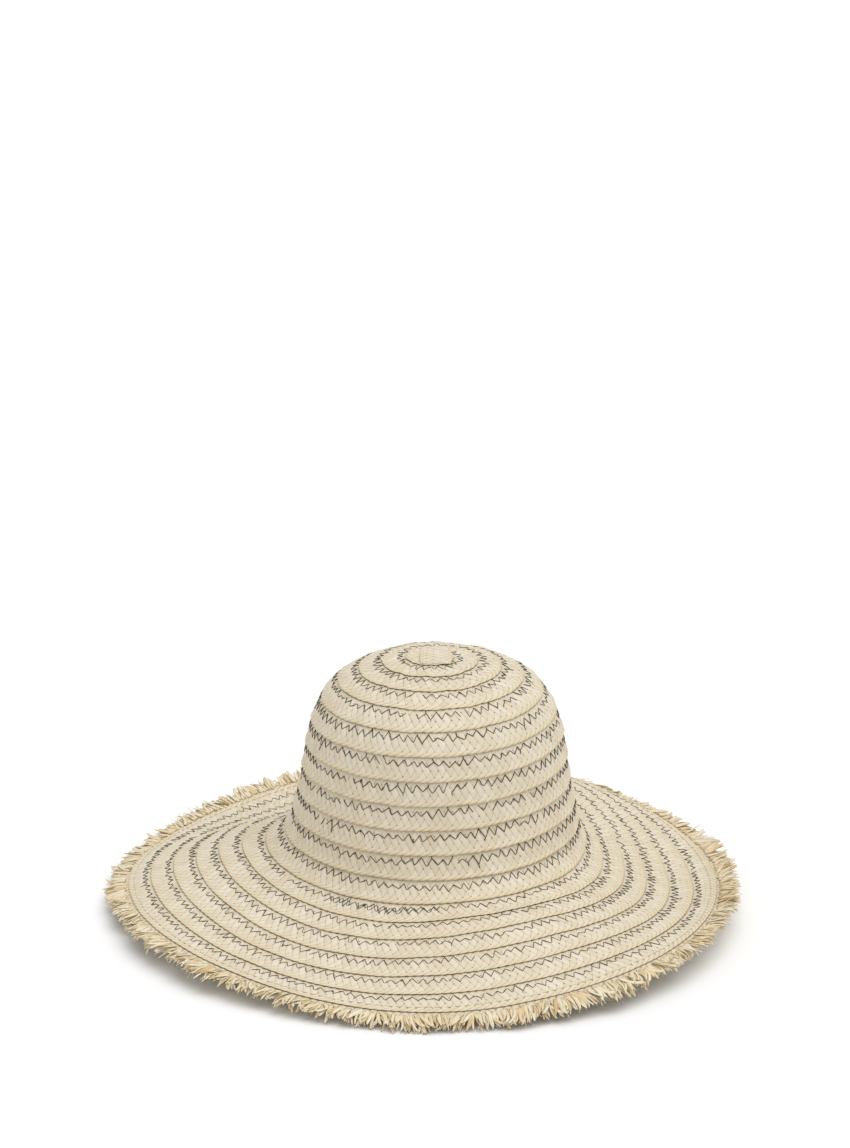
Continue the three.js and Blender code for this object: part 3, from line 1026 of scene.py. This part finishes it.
def straw_material():
    """Cream paper straw: fibres along each straw, painted shade in the dark lines between them, in the
    holes where they cross, between the edge's strands and below each turn's edge.
    """
    material, nodes, links, shader = new_material("plaited_straw", 0.62, 0.05)
    calc = calculator(nodes, links)
    place = node(nodes, "ShaderNodeSeparateXYZ")
    links.new(attribute(nodes, "place").outputs["Vector"], place.inputs[0])
    along = calc("DIVIDE", place.outputs[0], STRAW_ALONG)
    across = calc("DIVIDE", place.outputs[1], STRAW_ACROSS)
    a = calc("ADD", along, across)
    b = calc("SUBTRACT", along, across)
    family = calc("GREATER_THAN", place.outputs[2], 0.5)
    other = calc("SUBTRACT", 1.0, family)
    fine = calc("ADD", calc("MULTIPLY", a, family), calc("MULTIPLY", b, other))
    coarse = calc("ADD", calc("MULTIPLY", b, family), calc("MULTIPLY", a, other))
    in_rope = attribute(nodes, "rope").outputs["Fac"]
    in_plait = calc("SUBTRACT", 1.0, in_rope)
    fibre = fibre_noise(nodes, links, calc, fine, coarse, family)
    between = line_between(calc, fine, in_plait)
    hole = pinholes(nodes, links, calc, a, b, in_plait)
    strand = rope_strands(calc, along, place.outputs[1], in_rope)
    speck = noise(nodes, links, position(nodes), 260.0, 2.0)
    # painted shadow just outside each turn's edge, broken up by specks; the painted shade of the rope's
    # strands, the lines between straws and the holes joins it
    painted_edge_shadow = calc("MULTIPLY", attribute(nodes, "shade").outputs["Fac"], calc("ADD", speck, 0.3))
    dark = calc("MAXIMUM", painted_edge_shadow, calc("MULTIPLY", strand, 0.42))
    dark = calc("MAXIMUM", dark, calc("MULTIPLY", between, 0.34))
    dark = calc("MAXIMUM", dark, hole)
    colour = straw_colour(nodes, links, calc, fibre, in_rope)
    links.new(mix_colour(nodes, links, dark, colour, TAN), shader.inputs["Base Color"])
    sunk = calc("ADD", calc("MULTIPLY", between, 1.2), calc("MULTIPLY", hole, 3.0))
    bump(nodes, links, shader, calc("SUBTRACT", fibre, sunk), 0.00014)
    return material


def fringe_material():
    """Loose straws: golden to pale from straw to straw, with painted shade towards the root."""
    material, nodes, links, shader = new_material("loose_straw", 0.6, 0.05)
    calc = calculator(nodes, links)
    tone = attribute(nodes, "tone").outputs["Fac"]
    along = attribute(nodes, "along").outputs["Fac"]
    ramp = node(nodes, "ShaderNodeValToRGB")
    ramp.color_ramp.elements[0].color = (*FRINGE_GOLDEN, 1)
    ramp.color_ramp.elements[1].color = (*FRINGE_PALE, 1)
    middle = ramp.color_ramp.elements.new(0.3)
    middle.color = (*FRINGE_CREAM, 1)
    links.new(tone, ramp.inputs[0])
    fibre = noise(nodes, links, attribute(nodes, "place").outputs["Vector"], 40.0, 2.0)
    # painted shade where the straws crowd at the root
    root = calc("MAXIMUM", calc("SUBTRACT", 0.5, along), 0.0)
    colour = mix_colour(nodes, links, calc("MULTIPLY", root, 0.5), ramp.outputs[0], FRINGE_ROOT)
    colour = mix_colour(nodes, links, calc("MULTIPLY", fibre, 0.25), colour, WARM)
    links.new(colour, shader.inputs["Base Color"])
    bump(nodes, links, shader, fibre, 0.0001)
    return material


def thread_material(name, dark, light):
    material, nodes, links, shader = new_material(name, 0.55, 0.2)
    twist = node(nodes, "ShaderNodeTexWave", bands_direction="DIAGONAL")
    twist.inputs["Scale"].default_value = 900.0
    twist.inputs["Distortion"].default_value = 1.0
    links.new(position(nodes), twist.inputs["Vector"])
    cloud = noise(nodes, links, position(nodes), 90.0, 2.0)
    colour = mix_colour(nodes, links, cloud, dark, light)
    links.new(colour, shader.inputs["Base Color"])
    bump(nodes, links, shader, twist.outputs["Fac"], 0.00008)
    return material


def ribbon_material():
    material, nodes, links, shader = new_material("ribbed_ribbon", 0.8, 0.25)
    cloud = noise(nodes, links, position(nodes), 30.0, 3.0)
    weave = noise(nodes, links, position(nodes), 1500.0, 1.0)
    colour = mix_colour(nodes, links, cloud, *RIBBON)
    links.new(colour, shader.inputs["Base Color"])
    bump(nodes, links, shader, weave, 0.0001)
    return material


def label_material():
    material, nodes, links, shader = new_material("label_tape", 0.75, 0.2)
    weave = node(nodes, "ShaderNodeTexWave", bands_direction="Z")
    weave.inputs["Scale"].default_value = 700.0
    links.new(position(nodes), weave.inputs["Vector"])
    colour = mix_colour(nodes, links, weave.outputs["Fac"], *LABEL)
    links.new(colour, shader.inputs["Base Color"])
    bump(nodes, links, shader, weave.outputs["Fac"], 0.00008)
    return material


# ---- stage ----
FLOOR_HALF = 30.0
CAMERA_PLACE = Vector((-0.0072, -2.0316, 0.8613))  # from the crown's axis, at the crown's foot
CAMERA_DOWN = 18.53
CROWN_FOOT = 0.12131  # below the tip
SKY_STRENGTH = 0.59
SUN_DIRECTION = (-0.22, 0.16, -1.0)
SUN_STRENGTH = 1.66
SUN_SPREAD = 60


def build_floor():
    mesh = bpy.data.meshes.new("studio_floor")
    corners = [(-1, -1), (1, -1), (1, 1), (-1, 1)]
    mesh.from_pydata([(x * FLOOR_HALF, y * FLOOR_HALF, FLOOR_Z) for x, y in corners], [], [(0, 1, 2, 3)])
    floor = bpy.data.objects.new("studio_floor", mesh)
    bpy.context.scene.collection.objects.link(floor)
    material, nodes, links, shader = new_material("pale_floor", 0.9)
    grain = noise(nodes, links, position(nodes), 3.0, 2.0)
    links.new(mix_colour(nodes, links, grain, *FLOOR), shader.inputs["Base Color"])
    mesh.materials.append(material)


def sun(name, direction, strength, spread):
    light = bpy.data.lights.new(name, "SUN")
    light.energy = strength
    light.angle = math.radians(spread)
    lamp = bpy.data.objects.new(name, light)
    lamp.rotation_euler = Vector(direction).to_track_quat("-Z", "Y").to_euler()
    bpy.context.scene.collection.objects.link(lamp)


def build_studio():
    world = bpy.data.worlds.new("studio")
    world.use_nodes = True
    background = world.node_tree.nodes["Background"]
    background.inputs["Color"].default_value = (1, 1, 1, 1)
    background.inputs["Strength"].default_value = SKY_STRENGTH
    scene = bpy.context.scene
    scene.world = world
    scene.view_settings.view_transform = "Standard"
    sun("key", SUN_DIRECTION, SUN_STRENGTH, SUN_SPREAD)


def build_camera():
    camera = bpy.data.cameras.new("camera")
    camera.lens = 100
    camera.sensor_width = 36
    rig = bpy.data.objects.new("camera", camera)
    foot = Vector((AXIS.x, AXIS.y, TIP_Z - CROWN_FOOT))
    rig.location = foot + CAMERA_PLACE
    rig.rotation_euler = (math.radians(90 - CAMERA_DOWN), 0, 0)
    bpy.context.scene.collection.objects.link(rig)
    bpy.context.scene.camera = rig


def build_hat():
    straw = straw_material()
    loose = fringe_material()
    dark = thread_material("dark_sewing_thread", *DARK_THREAD)
    pale = thread_material("pale_sewing_thread", *PALE_THREAD)
    tip_patch(straw)
    for row in range(1, LAST_EDGE + 1):
        braid_row(row, node_name(row), straw)
    for row in range(2, LAST_EDGE + 1):
        zigzag_seam(row, dark)
    rim_heading(straw)
    rim_stitches(pale)
    for index in range(3):
        fringe_layer(index, loose)
    ribbon = sweatband(ribbon_material())
    band_stitches(pale)
    label = blank_label(label_material())
    return ribbon, label


ribbon, label = build_hat()
build_floor()
build_studio()
build_camera()
